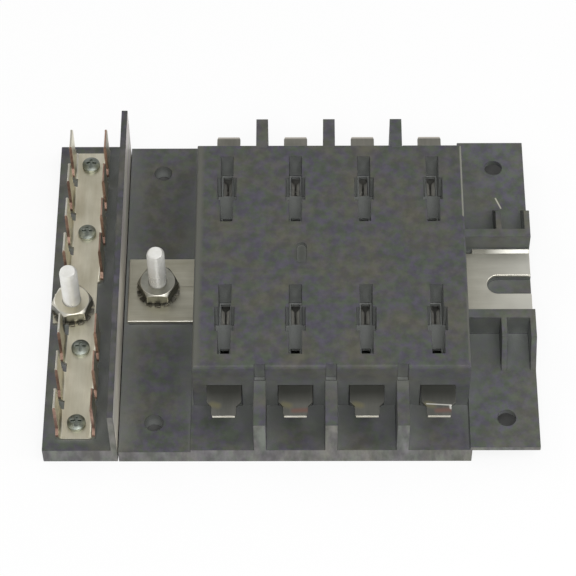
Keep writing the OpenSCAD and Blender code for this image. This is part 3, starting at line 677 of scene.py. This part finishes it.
# Studs: two zinc-plated steel studs with a hexagon head under the base, a neck pressed through it
# and a rolled 0.79 mm thread up to a flat chamfered end.
stud_thread_pitch = 0.79375 * MM
stud_crest_radius = 2.37 * MM
stud_root_radius = 2.05 * MM
stud_chamfer = 0.80 * MM
stud_end_radius = 1.74 * MM
thread_bottom_z = 5.5 * MM
thread_sides = 40
thread_profile = ((0.0, 0), (0.38, 1), (0.56, 1), (0.94, 0))
cut_reach = 0.0005 * MM
end_rim_reach = 0.001 * MM
zinc_tones = ((0.800, 0.790, 0.730, 1), (0.930, 0.925, 0.890, 1))
bright_zinc = plated_sheet("bright_zinc", zinc_tones, (0.26, 0.40), metallic=0.45)


def cut_level(mesh, z, outward):
    """Cuts a mesh level at z, drops what lies outward of the cut, and closes the cut."""
    everything = list(mesh.verts) + list(mesh.edges) + list(mesh.faces)
    bmesh.ops.bisect_plane(mesh, geom=everything, dist=cut_reach, plane_co=(0, 0, z),
                           plane_no=(0, 0, outward), clear_outer=True)
    rim = [edge for edge in mesh.edges
           if edge.is_boundary and all(abs(vert.co.z - z) < end_rim_reach for vert in edge.verts)]
    bmesh.ops.contextual_create(mesh, geom=rim)


def threaded_rod(mesh, centre, low_z, high_z):
    """Adds a closed rod whose thread climbs in one helix, cut flat at both ends."""
    rod = bmesh.new()
    turns = int((high_z - low_z) / stud_thread_pitch) + 4
    start_z = low_z - 2 * stud_thread_pitch
    rows = [(start_z + (turn + rise) * stud_thread_pitch,
             stud_root_radius + (stud_crest_radius - stud_root_radius) * crest)
            for turn in range(turns) for rise, crest in thread_profile]
    points = []
    for side in range(thread_sides):
        angle = 2 * pi * side / thread_sides
        climb = stud_thread_pitch * side / thread_sides
        points.append([rod.verts.new((centre.x + radius * cos(angle),
                                      centre.y + radius * sin(angle), z + climb))
                       for z, radius in rows])
    step = len(thread_profile)
    for side in range(thread_sides):
        last = side == thread_sides - 1
        following = points[0][step:] if last else points[side + 1]
        for row in range(min(len(following), len(rows)) - 1):
            rod.faces.new((points[side][row], following[row],
                           following[row + 1], points[side][row + 1]))
    cut_level(rod, low_z, -1)
    cut_level(rod, high_z, 1)
    chamfer_z = high_z - stud_chamfer
    slope = (stud_crest_radius - stud_end_radius) / stud_chamfer
    for vert in rod.verts:
        out_from_axis = Vector((vert.co.x - centre.x, vert.co.y - centre.y))
        limit = stud_crest_radius - slope * max(0, vert.co.z - chamfer_z)
        if out_from_axis.length > limit:
            out_from_axis *= limit / out_from_axis.length
            vert.co.x, vert.co.y = centre.x + out_from_axis.x, centre.y + out_from_axis.y
    spare = bpy.data.meshes.new("spare_rod")
    rod.to_mesh(spare)
    rod.free()
    mesh.from_mesh(spare)
    bpy.data.meshes.remove(spare)


for node in ("power_stud", "ground_stud"):
    low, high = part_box(node)
    mesh = copy_solid(node)
    cut_level(mesh, thread_bottom_z, 1)
    threaded_rod(mesh, (low + high) / 2, thread_bottom_z, high.z)
    place_piece(node + "_metal", mesh, (bright_zinc,), "block", node)


# Washers: toothed lock washers, whose fourteen outer teeth are twisted out of flat to bite.
# Hardened spring steel with a dark phosphate finish.
steel_tones = ((0.110, 0.105, 0.088, 1), (0.250, 0.240, 0.205, 1))
dark_steel = plated_sheet("dark_steel", steel_tones, (0.30, 0.46))
tooth_count = 14
tooth_root_radius = 4.35 * MM
tooth_tip_radius = 5.78 * MM
tooth_overlap = 0.15 * MM
tooth_twist = radians(13)
tooth_middle_twist_share = 0.6
tooth_root_width = 1.35 * MM
tooth_middle_width = 1.05 * tooth_root_width
tooth_tip_width = 1.60 * MM
washer_bore_radius = 2.62 * MM
washer_sheet = 0.42 * MM
washer_edge = 0.06 * MM
ring_steps_per_tooth = 6


def join_sections(mesh, sections, closed):
    """Faces between one closed row of points and the next, back to the first if closed."""
    following_sections = sections[1:] + sections[:1] if closed else sections[1:]
    for section, following in zip(sections, following_sections):
        for k in range(len(section)):
            n = (k + 1) % len(section)
            mesh.faces.new((section[k], section[n], following[n], following[k]))


def toothed_washer(centre):
    """A flat ring with twisted teeth: each tooth turns about its own length."""
    mesh = bmesh.new()
    steps = tooth_count * ring_steps_per_tooth
    rings = []
    for radius, z in ((washer_bore_radius, -0.5), (tooth_root_radius, -0.5),
                      (tooth_root_radius, 0.5), (washer_bore_radius, 0.5)):
        rings.append([mesh.verts.new((centre.x + radius * cos(2 * pi * k / steps),
                                      centre.y + radius * sin(2 * pi * k / steps),
                                      centre.z + z * washer_sheet))
                      for k in range(steps)])
    join_sections(mesh, rings, closed=True)
    for tooth in range(tooth_count):
        angle = 2 * pi * (tooth + 0.5) / tooth_count
        outward = Vector((cos(angle), sin(angle), 0))
        sideways = Vector((-sin(angle), cos(angle), 0))
        root = (tooth_root_radius - tooth_overlap, tooth_root_width, 0)
        halfway = ((tooth_root_radius + tooth_tip_radius) / 2, tooth_middle_width,
                   tooth_twist * tooth_middle_twist_share)
        tip = (tooth_tip_radius, tooth_tip_width, tooth_twist)
        sections = []
        for radius, width, twist in (root, halfway, tip):
            across = sideways * cos(twist) + Vector((0, 0, 1)) * sin(twist)
            above = Vector((0, 0, 1)) * cos(twist) - sideways * sin(twist)
            reach = (radius * radius - (width / 2) ** 2) ** 0.5
            middle = centre + outward * reach
            sections.append([mesh.verts.new(middle + across * width / 2 * a
                                            + above * washer_sheet / 2 * b)
                             for a, b in ((-1, -1), (1, -1), (1, 1), (-1, 1))])
        join_sections(mesh, sections, closed=False)
        mesh.faces.new(sections[0])
        mesh.faces.new(sections[-1])
    bmesh.ops.recalc_face_normals(mesh, faces=mesh.faces)
    return mesh


for node in ("power_washer", "ground_washer"):
    low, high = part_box(node)
    mesh = toothed_washer((low + high) / 2)
    piece = place_piece(node + "_metal", mesh, (dark_steel,), node, node)
    round_edges(piece, washer_edge, segments=2)


# Nuts: hexagon nuts of 9.5 mm across flats with their top corners turned off in a cone.
# Both have sides painted dark as shade and a painted highlight on their edges. The power nut's top
# is dull olive zinc; the ground nut has kept pale plating on its top, and its cone carries a
# painted highlight.
olive_tones = ((0.320, 0.318, 0.270, 1), (0.520, 0.512, 0.450, 1))
# Painted shade: the nuts' sides are a darker copy of the zinc.
side_painted_shade_tones = ((0.105, 0.104, 0.086, 1), (0.200, 0.197, 0.165, 1))
olive_zinc = plated_sheet("olive_zinc", olive_tones, (0.30, 0.44))
nut_side_painted_shade = plated_sheet("nut_side_painted_shade", side_painted_shade_tones, (0.34, 0.48))
nut_edge = 0.16 * MM
for node, top_finish in (("power_nut", olive_zinc), ("ground_nut", strip_face)):
    finishes = (top_finish, painted_highlight_rim, nut_side_painted_shade)
    mesh = copy_solid(node)
    for face in mesh.faces:
        finish = top_finish
        # The ground nut's cone takes the painted highlight.
        if node == "ground_nut" and nearly_upright < face.normal.z < nearly_flat:
            finish = painted_highlight_rim
        elif abs(face.normal.z) < nearly_upright:
            finish = nut_side_painted_shade
        face.material_index = finishes.index(finish)
    piece = place_piece(node + "_metal", mesh, finishes, node, node)
    round_edges(piece, nut_edge, edge_finish=painted_highlight_rim)


# Screws: four cross-recessed pan-head screws hold the strip, and four hold the housing from below.
# Zinc plate that has gone grey-green.
grey_zinc_tones = ((0.153, 0.167, 0.144, 1), (0.360, 0.387, 0.352, 1))
grey_zinc = plated_sheet("grey_zinc", grey_zinc_tones, (0.32, 0.46))
screw_edge = 0.06 * MM
for node in [f"{kind}_screw_{count}" for kind in ("ground", "housing") for count in range(1, 5)]:
    piece = place_piece(node + "_metal", copy_solid(node), (grey_zinc,), "block",
                        node)
    round_edges(piece, screw_edge, segments=2)
